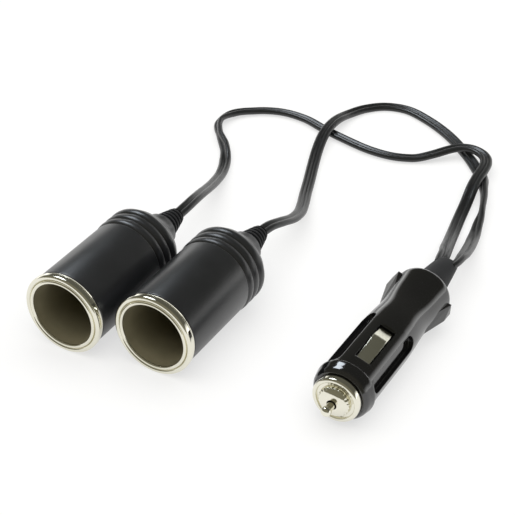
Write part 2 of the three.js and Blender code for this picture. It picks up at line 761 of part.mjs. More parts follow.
// Plug: strain relief, round where it leaves the case and flatter where the cords leave it
function taperedRelief() {
  const start = CASE_REAR + GAP;
  const shoulder = start + 1.2;
  const end = start + TAPER_LENGTH;
  const flangeBack = LEAD_ROOM_END - GAP;
  const ends = [];
  for (let i = 0; i < SMALL_SIDES; i += 1) {
    const angle = (2 * Math.PI * i) / SMALL_SIDES;
    const x = Math.cos(angle);
    const z = Math.sin(angle);
    ends.push(
      new THREE.Vector3(TAPER_R * x, shoulder, TAPER_R * z),
      new THREE.Vector3((TAPER_END_WIDTH / 2) * x, end, (TAPER_END_HEIGHT / 2) * z),
    );
  }
  const taper = solid(new ConvexGeometry(ends));
  return cylinder(TAPER_R, start, shoulder)
    .add(taper)
    .add(cylinder(TAPER_NECK_R, flangeBack - TAPER_FLANGE, start + 0.2))
    .add(cylinder(TAPER_FLANGE_R, flangeBack - TAPER_FLANGE, flangeBack));
}

function plug() {
  const group = new THREE.Group();
  const whole = wholeCase();
  const lowerContact = sideContact().rotate([0, 180, 0]);
  const frontCap = fuseCap(FUSE_FRONT, FUSE_FRONT + FUSE_CAP_LENGTH);
  const rearCap = fuseCap(FUSE_BACK, FUSE_BACK - FUSE_CAP_LENGTH);
  group.add(
    piece("plug_upper_case", upperCase(whole), glossBlack),
    piece("plug_lower_case", lowerCase(whole), glossBlack),
    piece("plug_case_screw", caseScrew(), steel),
    piece("plug_nose_ring", noseRing(), nickel),
    piece("plug_centre_pin", centrePin(), nickel),
    piece("plug_fuse_front_cap", frontCap, nickel),
    piece("plug_fuse_glass", fuseGlass(), glass),
    piece("plug_fuse_rear_cap", rearCap, nickel),
    piece("plug_pin_spring", pinSpring(), steel),
    piece("plug_live_plate", livePlate(), brass),
    piece("plug_upper_side_contact", sideContact(), nickel),
    piece("plug_lower_side_contact", lowerContact, nickel),
  );
  group.rotation.y = THREE.MathUtils.degToRad(PLUG.rollDeg);
  const level = new THREE.Group();
  level.add(group, piece("plug_strain_relief", taperedRelief(), softBlack));
  level.position.set(PLUG.x, PLUG.collarY, COLLAR_R);
  return level;
}

// A route along which the flat cord never twists: its width stays level
class LevelRoute extends THREE.CatmullRomCurve3 {
  computeFrenetFrames(segments) {
    const frames = { tangents: [], normals: [], binormals: [] };
    const upright = new THREE.Vector3(0, 0, 1);
    for (let i = 0; i <= segments; i += 1) {
      const tangent = this.getTangentAt(i / segments);
      const across = tangent.clone().cross(upright).normalize();
      frames.tangents.push(tangent);
      frames.normals.push(across);
      frames.binormals.push(tangent.clone().cross(across));
    }
    return frames;
  }
}

// A flat twin cord as one oval tube along its route
function cord(name, route) {
  const points = route.map((p) => new THREE.Vector3(...p));
  const outline = Array.from({ length: CORD_SECTION_SIDES }, (_, i) => {
    const angle = (2 * Math.PI * (i + 0.5)) / CORD_SECTION_SIDES;
    return new THREE.Vector2((CORD_WIDTH / 2) * Math.cos(angle), (CORD_HEIGHT / 2) * Math.sin(angle));
  });
  const tube = new THREE.ExtrudeGeometry(new THREE.Shape(outline), {
    steps: CORD_STEPS,
    extrudePath: new LevelRoute(points, false, "centripetal"),
    bevelEnabled: false,
  });
  return piece(name, solid(tube), cordBlack);
}

const splitter = new THREE.Group();
splitter.add(
  socket("left", LEFT_SOCKET),
  socket("right", RIGHT_SOCKET),
  plug(),
  cord("left_cord", LEFT_CORD_ROUTE),
  cord("right_cord", RIGHT_CORD_ROUTE),
);

export default splitter;
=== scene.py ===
import json
import math

import bmesh
import bpy
from mathutils import Matrix, Vector


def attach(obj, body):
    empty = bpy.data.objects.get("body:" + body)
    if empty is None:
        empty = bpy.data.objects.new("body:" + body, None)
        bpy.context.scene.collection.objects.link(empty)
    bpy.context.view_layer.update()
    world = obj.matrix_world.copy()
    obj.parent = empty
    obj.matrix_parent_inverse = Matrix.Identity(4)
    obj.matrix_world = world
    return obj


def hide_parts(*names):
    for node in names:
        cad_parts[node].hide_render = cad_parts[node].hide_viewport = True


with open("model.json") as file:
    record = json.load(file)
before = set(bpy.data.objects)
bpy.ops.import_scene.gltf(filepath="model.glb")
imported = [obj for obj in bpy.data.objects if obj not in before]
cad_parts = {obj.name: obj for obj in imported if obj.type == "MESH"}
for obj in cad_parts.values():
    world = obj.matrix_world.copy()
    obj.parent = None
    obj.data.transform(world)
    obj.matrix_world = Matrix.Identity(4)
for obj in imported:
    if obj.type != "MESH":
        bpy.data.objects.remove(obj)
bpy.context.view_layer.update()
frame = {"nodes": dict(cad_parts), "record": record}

MM = 0.001
BODY = "splitter"

# The same sizes as in the part's source, in millimetres; y runs from each assembly's front to its rear
GAP = 0.3
LEFT_SOCKET = (-46.4, -48.8, 15)
RIGHT_SOCKET = (-13.9, -43.4, 15)
PLUG = (50.2, -30.6, 10.4)
PLUG_ROLL = 19

BORE_R = 10.85
BORE_DEPTH = 36
SLEEVE_R = 11.35
SHELL_R = 14.5
RIM_R = 15
RIM_DEPTH = 2.6
LIP_R = 11.8
LIP_STAND = 0.6
RIBS = [37.4 + 3.7 * i for i in range(3)]
DOME_START = 48.5
DOME_END = 59.9
SHELL_BACK = 56.9
SOCKET_RELIEF_LENGTH = 10.2
SOCKET_RELIEF_R = 5.5
SOCKET_RELIEF_END_R = 3.1
SOCKET_RELIEF_RINGS = 5
SOCKET_RELIEF_NECK_R = 3.4
SOCKET_RELIEF_FLANGE_R = 5.2

CASE_FRONT = -4.5
CASE_REAR = 60
CASE_FACE_R = 8.9
COLLAR_R = 10.4
BARREL_R = 9.8
NECK_R = 8.95
NECK_Y = 43
LAND_R = 9.3
LAND_END = 24.4
GROOVE_ANGLE = 57
GROOVE_R = 2.8
GROOVE_FLOOR_R = 7.7
GROOVE_FRONT = 1.2
GROOVE_REAR = 30.5
WINDOW_HALF_WIDTH = 2.9
WINDOW_FRONT = 5.4
WINDOW_REAR = 23.9
CHANNEL_FRONT = -1.9
CHANNEL_FLOOR_R = 5.3
LEAF_ROOF_R = 8.5
NOSE_BORE_R = 6.1
NOSE_BORE_END = 0.4
FUSE_BORE_R = 3.7
FUSE_BORE_END = 38
TAB_BORE_R = 2
LEAD_ROOM_R = 6
LEAD_ROOM_START = 41
LEAD_ROOM_END = 55.6
WING_FRONT = 41
WING_EDGE_FRONT = 48.6
WING_PEAK = 52.5
WING_REAR = 57.4
WING_REACH = 11.8
WING_EDGE_REACH = 10.7
WING_HALF_WIDTH = 3.8

RING_BACK = CASE_FRONT - GAP
RING_FRONT = RING_BACK - 2.6
RING_R = 8.2
RING_ROUND = 0.9
CAP_R = 5.5
CAP_KNURLS = 24
PIN_HOLE_R = 1.75
PIN_R = 1.35
PIN_HEAD_R = 1.65
PIN_FLANGE_R = 3
PIN_FLANGE_FRONT = -5.2
PIN_FLANGE_BACK = -4.1
LEAF_HALF_WIDTH = 2.45
LEAF_THICK = 0.45
TAPER_NECK_R = 3.9
TAPER_FLANGE_R = 5.4
CORD_WIDTH = 5.0

# Camera
camera_data = bpy.data.cameras.new("camera")
camera = bpy.data.objects.new("camera", camera_data)
bpy.context.scene.collection.objects.link(camera)
camera.location = (0.1967, -0.3398, 0.2948)
camera.rotation_euler = (math.radians(55.5), 0, math.radians(30))
camera_data.sensor_width = 36
camera_data.lens = 97.86
camera_data.clip_start = 0.01
camera_data.clip_end = 20
bpy.context.scene.camera = camera

# Mesh helpers; lengths come in millimetres and the meshes are made in metres
WELD = 2e-6
HOLE_SIDES = 8
ON_AXIS = 1e-6
FILLET_STEPS = 3
FILLET_SHARE = 0.48


def add_object(name, verts, faces):
    mesh = bpy.data.meshes.new(name)
    mesh.from_pydata([tuple(c * MM for c in v) for v in verts], [], faces)
    mesh.validate()
    obj = bpy.data.objects.new(name, mesh)
    bpy.context.scene.collection.objects.link(obj)
    return obj


def spot(place, roll):
    """The transform that carries a piece made about the Y axis to its place."""
    return Matrix.Translation(Vector(place) * MM) @ Matrix.Rotation(math.radians(roll), 4, "Y")


def finish_mesh(obj, angle, place=(0, 0, 0), roll=0):
    """Puts a piece in its place, closed, with outward faces and with edges sharp from an angle on."""
    obj.data.transform(spot(place, roll))
    bm = bmesh.new()
    bm.from_mesh(obj.data)
    bmesh.ops.remove_doubles(bm, verts=bm.verts, dist=WELD)
    bmesh.ops.holes_fill(bm, edges=bm.edges, sides=HOLE_SIDES)
    bmesh.ops.recalc_face_normals(bm, faces=bm.faces)
    bm.to_mesh(obj.data)
    bm.free()
    obj.data.shade_smooth()
    obj.data.set_sharp_from_angle(angle=math.radians(angle))
    return obj


def arc(centre, radii, start, turn, steps):
    """Points on an arc, of a circle or an ellipse; the angles are in degrees."""
    angles = [math.radians(start + turn * i / steps) for i in range(steps + 1)]
    return [(centre[0] + radii[0] * math.cos(a), centre[1] + radii[1] * math.sin(a)) for a in angles]


def lathe(name, profile, sides, warp=None):
    """A closed solid turned about Y from [radius, y] points; warp changes a radius by its angle."""
    verts, faces = [], []
    count = len(profile)
    for side in range(sides):
        angle = 2 * math.pi * side / sides
        for i, (radius, y) in enumerate(profile):
            r = warp(i, radius, angle) if warp else radius
            verts.append((r * math.sin(angle), y, r * math.cos(angle)))
    for side in range(sides):
        here = side * count
        there = (side + 1) % sides * count
        for i in range(count):
            n = (i + 1) % count
            starts_on_axis = profile[i][0] < ON_AXIS
            ends_on_axis = profile[n][0] < ON_AXIS
            if starts_on_axis and ends_on_axis:
                continue
            if starts_on_axis:
                faces.append((here + i, here + n, there + n))
            elif ends_on_axis:
                faces.append((here + i, here + n, there + i))
            else:
                faces.append((here + i, here + n, there + n, there + i))
    return add_object(name, verts, faces)


def tube_faces(rows, count):
    """The faces of a closed tube whose rows hold so many points each."""
    faces = []
    for i in range(rows - 1):
        for k in range(count):
            n = (k + 1) % count
            faces.append((i * count + k, i * count + n, (i + 1) * count + n, (i + 1) * count + k))
    last = (rows - 1) * count
    return [*faces, tuple(range(count)), tuple(last + k for k in reversed(range(count)))]


def rounded(points):
    """[r, y, fillet] points to a profile whose corners are rounded by their fillets."""
    out = []
    for i, point in enumerate(points):
        fillet = point[2] if len(point) > 2 else 0
        here = Vector(point[:2])
        if fillet <= 0 or i in (0, len(points) - 1):
            out.append(tuple(point[:2]))
            continue
        before = Vector(points[i - 1][:2]) - here
        after = Vector(points[i + 1][:2]) - here
        reach = min(fillet, FILLET_SHARE * before.length, FILLET_SHARE * after.length)
        start = here + before.normalized() * reach
        end = here + after.normalized() * reach
        for s in range(FILLET_STEPS + 1):
            t = s / FILLET_STEPS
            q = start * (1 - t) ** 2 + here * 2 * t * (1 - t) + end * t**2
            out.append((q.x, q.y))
    return out


def spline(points, per):
    """A smooth curve through points, by centripetal Catmull-Rom as in the part's source."""
    pts = [Vector(p) for p in points]
    pts = [2 * pts[0] - pts[1], *pts, 2 * pts[-1] - pts[-2]]
    out = []
    for i in range(1, len(pts) - 2):
        p0, p1, p2, p3 = pts[i - 1 : i + 3]
        d0, d1, d2 = ((b - a).length ** 0.5 for a, b in ((p0, p1), (p1, p2), (p2, p3)))
        t1 = ((p1 - p0) / d0 - (p2 - p0) / (d0 + d1) + (p2 - p1) / d1) * d1
        t2 = ((p2 - p1) / d1 - (p3 - p1) / (d1 + d2) + (p3 - p2) / d2) * d1
        for s in range(per):
            t = s / per
            a = p1 + t1 * t
            b = (3 * (p2 - p1) - 2 * t1 - t2) * t**2
            out.append(a + b + (2 * (p1 - p2) + t1 + t2) * t**3)
    return [*out, pts[-2]]


def smooth_profile(points, per):
    """A smooth curve through [r, y] points."""
    return [(p.x, p.y) for p in spline([(r, y, 0) for r, y in points], per)]


# Cords: the routes of the part's source, in millimetres, and the section's roll in degrees by route point
LEFT_CORD = [
    (-46.4, 21.9, 15), (-46.7, 28.5, 14.8), (-47.7, 36, 13.9), (-49.5, 44, 11.8),
    (-52, 53, 8.7), (-55.2, 63, 5.3), (-58.6, 73, 2.6), (-62.6, 82.5, 1.5),
    (-68.3, 92, 1.6), (-76, 100.6, 2.2), (-81.8, 110, 2.5), (-80.4, 120, 2.1),
    (-73.2, 127.8, 1.4), (-63, 132.1, 1.3), (-51.5, 131.7, 1.3), (-40.5, 127.9, 1.3),
    (-28.5, 124.4, 1.3), (-15.5, 121.6, 1.3), (-5, 121.8, 1.3), (3.4, 125, 1.5),
    (9.4, 129.4, 2.8), (14.4, 134.4, 4), (17.9, 137.2, 4.5), (22.3, 138.4, 4.7),
    (26.7, 137.3, 4.7), (30.2, 134.5, 4.7), (32.2, 130.4, 4.7), (33.1, 125, 4.7),
    (33.6, 118, 4.6), (34.4, 111, 4.1), (35.6, 102.5, 2.1), (37.3, 92, 1.4),
    (39.6, 81, 2.2), (42.2, 70.5, 4.6), (44.8, 61, 7.8), (46.7, 54.5, 9.7), (47.5, 49.7, 10.2),
]
LEFT_ROLL = {7: 12, 8: 50, 9: 82, 10: 52, 11: 12, 33: 0, 34: 18, 35: 40, 36: 50}
LEFT_HEAD = (-46.4, 20.2, 15)
LEFT_TAIL = (48.1, 47.2, 10.4)
RIGHT_CORD = [
    (-13.9, 27.3, 15), (-13.5, 33.5, 14.4), (-12.7, 41, 12.3), (-12.6, 49, 9.3),
    (-14.4, 58, 6.4), (-17.8, 67, 4.1), (-22, 77, 2.3), (-26.2, 88, 1.5),
    (-30.2, 98.5, 1.5), (-33.8, 109, 2.4), (-36.2, 118.5, 3.8), (-37.3, 126.5, 4.3),
    (-37.6, 135, 3.7), (-36.8, 144, 2.1), (-33.4, 152.8, 1.4), (-26.6, 159.3, 1.3),
    (-17, 161.3, 1.3), (-5, 157.1, 1.3), (6.6, 150.3, 1.3), (16.2, 142.5, 1.3),
    (25.6, 133.3, 1.3), (33.4, 123.6, 1.3), (39, 112.5, 1.3), (42.8, 101.5, 1.3),
    (45.6, 90, 1.5), (48.2, 79, 2.8), (50.6, 68.5, 5.6), (52.2, 60, 8.3),
    (52.9, 54.3, 9.8), (52.9, 49.7, 10.2),
]
RIGHT_ROLL = {20: 0, 21: -25, 22: -80, 23: -84, 24: -45, 25: -15, 26: -12, 27: -20, 28: -40, 29: -50}
RIGHT_HEAD = (-13.9, 25.6, 15)
RIGHT_TAIL = (52.3, 47.2, 10.4)
CORE_R = 1.2
WEB_HALF_HEIGHT = 0.42
CORE_OFFSET = CORD_WIDTH / 2 - CORE_R
FLOOR_CLEARANCE = 0.02
CORD_STEPS = 9


def twin_section():
    """Outline of a flat twin cord: two round cores with a thin web between them."""
    out = []
    for side in (1, -1):
        out += [(side * x, side * y) for x, y in arc((CORE_OFFSET, 0), (CORE_R, CORE_R), -155, 310, 12)]
        out.append((0, side * WEB_HALF_HEIGHT))
    return out


def roll_at(keys, at):
    """The roll in radians, eased between the route points that give one."""
    before, roll = max(key for key in keys[:-1] if key[0] <= at)
    after, next_roll = min(key for key in keys if key[0] > before)
    t = (at - before) / (after - before)
    return math.radians(roll + (next_roll - roll) * t * t * (3 - 2 * t))


def make_cord(name, route, rolls, head, tail):
    """The cord along its route; head and tail are the hidden ends inside the strain reliefs."""
    line = spline([head, *route, tail], CORD_STEPS)
    last = len(route) - 1
    keys = sorted({0: 0, last: 0, **rolls}.items())
    section = twin_section()
    verts = []
    for i, p in enumerate(line):
        along = (line[min(i + 1, len(line) - 1)] - line[max(i - 1, 0)]).normalized()
        across = along.cross(Vector((0, 0, 1))).normalized()
        upright = across.cross(along)
        roll = roll_at(keys, min(max(i / CORD_STEPS - 1, 0), last))
        half_height = CORE_OFFSET * abs(math.sin(roll)) + CORE_R
        centre = Vector((p.x, p.y, max(p.z, half_height + FLOOR_CLEARANCE)))
        side = across * math.cos(roll) + upright * math.sin(roll)
        top = upright * math.cos(roll) - across * math.sin(roll)
        verts += [tuple(centre + side * u + top * v) for u, v in section]
    obj = finish_mesh(add_object(name, verts, tube_faces(len(line), len(section))), 60)
    return obj


left_cord = make_cord("left_flat_twin_cord", LEFT_CORD, LEFT_ROLL, LEFT_HEAD, LEFT_TAIL)
right_cord = make_cord("right_flat_twin_cord", RIGHT_CORD, RIGHT_ROLL, RIGHT_HEAD, RIGHT_TAIL)


# Materials
def new_material(name):
    material = bpy.data.materials.new(name)
    material.use_nodes = True
    return material, material.node_tree, material.node_tree.nodes["Principled BSDF"]


def link(tree, a, out, b, into):
    tree.links.new(a.outputs[out], b.inputs[into])


def noise(tree, scale, detail, stretch=None):
    coord = tree.nodes.new("ShaderNodeTexCoord")
    node = tree.nodes.new("ShaderNodeTexNoise")
    node.inputs["Scale"].default_value = scale
    node.inputs["Detail"].default_value = detail
    node.inputs["Roughness"].default_value = 0.55
    if stretch:
        mapping = tree.nodes.new("ShaderNodeMapping")
        mapping.inputs["Scale"].default_value = stretch
        link(tree, coord, "Object", mapping, "Vector")
        link(tree, mapping, "Vector", node, "Vector")
    else:
        link(tree, coord, "Object", node, "Vector")
    return node


def ramp(tree, source, out, low, high, low_at=0.3, high_at=0.7):
    node = tree.nodes.new("ShaderNodeValToRGB")
    node.color_ramp.elements[0].position = low_at
    node.color_ramp.elements[1].position = high_at
    node.color_ramp.elements[0].color = (*low, 1)
    node.color_ramp.elements[1].color = (*high, 1)
    link(tree, source, out, node, "Fac")
    return node


def finish_material(name, low, high, rough, grain, metallic=0, patches=45, edge=0, specular=0.5,
                    stretch=None):
    """Colour that varies in soft patches, roughness that varies with them, a fine grain and soft edges.

    The grain is its scale and its depth in metres, and the edge is its rounding in millimetres.
    """
    material, tree, shader = new_material(name)
    cloud = noise(tree, patches, 3, stretch)
    colour = ramp(tree, cloud, "Fac", low, high)
    link(tree, colour, "Color", shader, "Base Color")
    shine = ramp(tree, cloud, "Fac", (rough[0],) * 3, (rough[1],) * 3)
    link(tree, shine, "Color", shader, "Roughness")
    shader.inputs["Metallic"].default_value = metallic
    shader.inputs["Specular IOR Level"].default_value = specular
    fine = noise(tree, grain[0], 2, stretch)
    bump = tree.nodes.new("ShaderNodeBump")
    bump.inputs["Strength"].default_value = 1
    bump.inputs["Distance"].default_value = grain[1]
    link(tree, fine, "Fac", bump, "Height")
    if edge:
        bevel = tree.nodes.new("ShaderNodeBevel")
        bevel.samples = 6
        bevel.inputs["Radius"].default_value = edge * MM
        link(tree, bevel, "Normal", bump, "Normal")
    link(tree, bump, "Normal", shader, "Normal")
    return material


RUBBER = ((0.008, 0.0085, 0.0095), (0.012, 0.0125, 0.014))
soft_black = finish_material("soft_black_moulding", *RUBBER, (0.3, 0.38), (1500, 0.000012),
                             edge=0.15, specular=0.7)
relief_black = finish_material("matt_black_relief", *RUBBER, (0.46, 0.56), (1500, 0.000012),
                               edge=0.15, specular=0.15)
gloss_black = finish_material("gloss_black_moulding", (0.003, 0.003, 0.0035), (0.005, 0.005, 0.0055),
                              (0.08, 0.12), (260, 0.000003), edge=0.35, specular=1)
cord_black = finish_material("cord_sheath", (0.006, 0.0065, 0.007), (0.011, 0.0115, 0.013),
                             (0.3, 0.38), (500, 0.000004), patches=90, specular=0.65)
nickel = finish_material("bright_nickel", (0.74, 0.72, 0.61), (0.82, 0.8, 0.7),
                         (0.07, 0.12), (300, 0.000001), metallic=1, edge=0.1)
leaf_nickel = finish_material("rubbed_nickel", (0.72, 0.71, 0.6), (0.85, 0.84, 0.74),
                              (0.18, 0.26), (900, 0.000008), metallic=1, edge=0.1, stretch=(1, 0.12, 1))
# Painted shade: the inside of each socket's sleeve gets a dark olive-brown in place of its nickel, for the
# shade deep in the bore
bore_painted_shade = finish_material("painted_shade_bore", (0.16, 0.142, 0.088), (0.2, 0.178, 0.112),
                             (0.62, 0.75), (600, 0.00001), patches=70, specular=0.2)
board = finish_material("pressed_fibre", (0.05, 0.03, 0.016), (0.085, 0.052, 0.028),
                        (0.7, 0.85), (1200, 0.00003), patches=300)
brass = finish_material("plain_brass", (0.5, 0.36, 0.14), (0.62, 0.47, 0.2),
                        (0.22, 0.35), (700, 0.00001), metallic=1, edge=0.1)
steel = finish_material("zinc_steel", (0.45, 0.46, 0.47), (0.6, 0.61, 0.62),
                        (0.25, 0.4), (700, 0.00001), metallic=1, edge=0.1)
glass = finish_material("fuse_glass", (0.85, 0.9, 0.88), (0.92, 0.95, 0.94), (0.02, 0.05), (900, 0.00002))
glass.node_tree.nodes["Principled BSDF"].inputs["Transmission Weight"].default_value = 0.9


def settle(obj, body, slot, materials, *nodes):
    """Gives a piece its materials and says which body carries it and which solids it stands for."""
    for material in materials:
        obj.data.materials.append(material)
    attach(obj, body)
    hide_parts(*nodes)
    return obj


settle(left_cord, BODY, "cord_sheath", [cord_black], "left_cord")
settle(right_cord, BODY, "cord_sheath", [cord_black], "right_cord")

# Sockets: each rib is given by [r, y, fillet] from its start, and the dome by [r, y] from its own
RIB_FORM = [(13.95, 0.25, 0.3), (14.6, 0.75, 0.5), (14.9, 1.7, 0.8), (14.75, 3.1, 0.6)]
DOME_FORM = [(13.95, 0.3), (12.7, 2.2), (9.6, 4.35), (7.3, 7.7)]
DOME_END_R = 6.3
WIRING_R = 9
INSULATOR_BACK = 38.3
RELIEF_FLANGE_FRONT = 55
RELIEF_FLANGE_BACK = 56.6
RING_GROOVE_DEPTH = 0.6
BORE_SHADE_R = 11.85
BORE_SHADE_Y = 0.3


def shell_profile():
    points = [(SLEEVE_R + GAP, RIM_DEPTH + GAP), (14.2, RIM_DEPTH + GAP, 0.25), (SHELL_R, 3.3, 0.3),
              (SHELL_R, RIBS[0] - 0.2, 0.3)]
    for rib in RIBS:
        points += [(r, rib + y, fillet) for r, y, fillet in RIB_FORM]
    dome = [(r, DOME_START + y) for r, y in DOME_FORM]
    points += smooth_profile([*dome, (DOME_END_R, DOME_END)], 7)
    hole = SOCKET_RELIEF_NECK_R + GAP
    pocket = SOCKET_RELIEF_FLANGE_R + GAP
    points += [(hole, DOME_END), (hole, SHELL_BACK), (pocket, SHELL_BACK), (pocket, 51.9),
               (WIRING_R, DOME_START), (WIRING_R, INSULATOR_BACK), (SLEEVE_R + GAP, INSULATOR_BACK)]
    return rounded(points)


def relief_profile():
    start = DOME_END + GAP
    step = SOCKET_RELIEF_LENGTH / SOCKET_RELIEF_RINGS
    end = start + SOCKET_RELIEF_LENGTH

    def radius(y):
        return SOCKET_RELIEF_R + (SOCKET_RELIEF_END_R - SOCKET_RELIEF_R) * (y - start) / SOCKET_RELIEF_LENGTH

    points = [(0, RELIEF_FLANGE_FRONT), (SOCKET_RELIEF_FLANGE_R, RELIEF_FLANGE_FRONT),
              (SOCKET_RELIEF_FLANGE_R, RELIEF_FLANGE_BACK), (SOCKET_RELIEF_NECK_R, RELIEF_FLANGE_BACK),
              (SOCKET_RELIEF_NECK_R, start)]
    for i in range(SOCKET_RELIEF_RINGS):
        y = start + i * step
        points += [
            (radius(y), y, 0.3),
            (radius(y + 0.6 * step), y + 0.6 * step, 0.35),
            (radius(y + 0.7 * step) - RING_GROOVE_DEPTH, y + 0.7 * step, 0.15),
            (radius(y + step) - RING_GROOVE_DEPTH, y + 0.95 * step, 0.15),
        ]
    points += [(SOCKET_RELIEF_END_R, end - 0.1, 0.3), (2.7, end + 0.25, 0.3), (0, end + 0.25)]
    return rounded(points)


def sleeve_profile():
    """The sleeve with the thin inner bead and the thicker outer bead that are rolled at its mouth."""
    inner, outer = 0.66, 0.9
    points = [(BORE_R, BORE_DEPTH), (BORE_R, 6), (11.0, 4.2), (11.35, 2.4), (LIP_R, 0.9)]
    points += arc((LIP_R + inner, inner - LIP_STAND), (inner, inner), 180, 150, 14)
    points += [(13.15, 0.55)]
    points += arc((RIM_R - outer, outer - 0.45), (outer, outer), 195, 165, 16)
    points += [(RIM_R, 1.6), (14.72, 1.85), (14.66, 1.95), (14.78, 2.15), (14.6, RIM_DEPTH)]
    return [*points, (SLEEVE_R, RIM_DEPTH), (SLEEVE_R, BORE_DEPTH)]


def make_socket(side, place):
    shell = finish_mesh(lathe(f"{side}_shell", shell_profile(), 128), 40, place)
    settle(shell, BODY, "soft_black", [soft_black], f"{side}_socket_shell")
    relief = finish_mesh(lathe(f"{side}_ringed_relief", relief_profile(), 72), 40, place)
    settle(relief, BODY, "soft_black", [relief_black], f"{side}_socket_strain_relief")
    sleeve = finish_mesh(lathe(f"{side}_rolled_sleeve", sleeve_profile(), 128), 40, place)
    settle(sleeve, BODY, "nickel_plate", [nickel, bore_painted_shade], f"{side}_socket_contact_sleeve")
    # Faces inside the bore, past the lip, take the painted shade colour; the rim keeps the nickel
    for face in sleeve.data.polygons:
        x, y, z = face.center / MM - Vector(place)
        face.material_index = 1 if math.hypot(x, z) < BORE_SHADE_R and y > BORE_SHADE_Y else 0
    return relief


left_relief = make_socket("left", LEFT_SOCKET)
right_relief = make_socket("right", RIGHT_SOCKET)

# Plug case: turned, then cut by its grooves and windows
BEYOND_CASE_R = 13
LAND_HALF_WIDTH = 6.5
LAND_FRONT = 1
PARTING_HALF = 0.06
GRIP_REAR_R = 10.15
REAR_ROUND = (1.2, 1.8)
TURNED_FACE = 0.97


def apply_boolean(obj, other, operation):
    cut = obj.modifiers.new("cut", "BOOLEAN")
    cut.object = other
    cut.operation = operation
    cut.solver = "EXACT"
    bpy.context.view_layer.update()
    made = bpy.data.meshes.new_from_object(obj.evaluated_get(bpy.context.evaluated_depsgraph_get()))
    obj.modifiers.clear()
    old = obj.data
    obj.data = made
    bpy.data.meshes.remove(old)
    bpy.data.objects.remove(other)


def prism(name, outline, low, high):
    """An outline of [x, y] points raised from one height to another."""
    n = len(outline)
    verts = [(x, y, low) for x, y in outline] + [(x, y, high) for x, y in outline]
    faces = [tuple(reversed(range(n))), tuple(range(n, 2 * n))]
    faces += [(k, (k + 1) % n, n + (k + 1) % n, n + k) for k in range(n)]
    return add_object(name, verts, faces)


def turned_by(obj, degrees):
    obj.data.transform(Matrix.Rotation(math.radians(degrees), 4, "Y"))
    return obj


def block(name, x, y0, y1, low, high):
    return prism(name, [(-x, y0), (x, y0), (x, y1), (-x, y1)], low, high)


def groove():
    """A slot with round ends."""
    r = GROOVE_R
    outline = arc((0, GROOVE_FRONT + r), (r, r), 180, 180, 14) + arc((0, GROOVE_REAR - r), (r, r), 0, 180, 14)
    return prism("groove", outline, GROOVE_FLOOR_R, BEYOND_CASE_R)


def wing():
    """A stop wing: the hull of its ridge and its two edges."""
    root = LEAD_ROOM_R + 0.9
    edge = math.sqrt(NECK_R**2 - WING_HALF_WIDTH**2)
    points = [(NECK_R - 0.1, WING_FRONT, 0), (11.7, WING_PEAK, 0), (WING_REACH, WING_REAR, 0),
              (root, WING_REAR, 0)]
    for z in (-WING_HALF_WIDTH, WING_HALF_WIDTH):
        points += [(edge, WING_EDGE_FRONT, z), (WING_EDGE_REACH, WING_REAR, z), (root, WING_REAR, z),
                   (root, WING_EDGE_FRONT, z)]
    bm = bmesh.new()
    for p in points:
        bm.verts.new(Vector(p) * MM)
    bmesh.ops.convex_hull(bm, input=bm.verts)
    mesh = bpy.data.meshes.new("wing")
    bm.to_mesh(mesh)
    bm.free()
    obj = bpy.data.objects.new("wing", mesh)
    bpy.context.scene.collection.objects.link(obj)
    return obj


def case_profile():
    outside = smooth_profile([(CASE_FACE_R, CASE_FRONT), (9.7, CASE_FRONT + 1.2), (10.15, -1.5),
                              (COLLAR_R, -0.4)], 5)
    outside += [(COLLAR_R, 0.3), (BARREL_R, 1)]
    outside += smooth_profile([(BARREL_R, LAND_END + 3), (9.5, LAND_END + 9), (NECK_R, NECK_Y),
                               (9.6, CASE_REAR - 8), (GRIP_REAR_R, CASE_REAR - 2)], 8)
    outside += arc((GRIP_REAR_R - REAR_ROUND[0], CASE_REAR - REAR_ROUND[1]), REAR_ROUND, 0, 90, 9)[1:]
    hole = TAPER_NECK_R + GAP
    hollow = [(hole, CASE_REAR), (hole, LEAD_ROOM_END), (LEAD_ROOM_R, LEAD_ROOM_END),
              (LEAD_ROOM_R, LEAD_ROOM_START), (TAB_BORE_R, LEAD_ROOM_START), (TAB_BORE_R, FUSE_BORE_END),
              (FUSE_BORE_R, FUSE_BORE_END), (FUSE_BORE_R, NOSE_BORE_END), (NOSE_BORE_R, NOSE_BORE_END),
              (NOSE_BORE_R, CASE_FRONT)]
    return outside + hollow


def make_case():
    case = lathe("plug_case", case_profile(), 120)
    wide = WINDOW_HALF_WIDTH
    for turn in (0, 180):
        apply_boolean(case, turned_by(wing(), turn), "UNION")
        cuts = [turned_by(groove(), -GROOVE_ANGLE), turned_by(groove(), GROOVE_ANGLE),
                block("plane", LAND_HALF_WIDTH, LAND_FRONT, LAND_END, LAND_R, BEYOND_CASE_R),
                block("window", wide, WINDOW_FRONT, WINDOW_REAR, CHANNEL_FLOOR_R, BEYOND_CASE_R),
                block("channel", wide, CHANNEL_FRONT, WINDOW_REAR, CHANNEL_FLOOR_R, LEAF_ROOF_R)]
        for cut in cuts:
            apply_boolean(case, turned_by(cut, turn), "DIFFERENCE")
    slit = block("parting", BEYOND_CASE_R, CASE_FRONT - 1.5, CASE_REAR + 2, -PARTING_HALF, PARTING_HALF)
    apply_boolean(case, slit, "DIFFERENCE")
    finish_mesh(case, 28)
    for face in case.data.polygons:
        radial = Vector((face.center.x, 0, face.center.z)).normalized()
        by_wing = (WING_FRONT - 0.5) * MM < face.center.y < (WING_REAR + 0.1) * MM
        if by_wing and face.normal.dot(radial) < TURNED_FACE:
            face.use_smooth = False
    case.data.transform(spot(PLUG, PLUG_ROLL))
    return case


settle(make_case(), BODY, "gloss_black", [gloss_black], "plug_upper_case", "plug_lower_case")

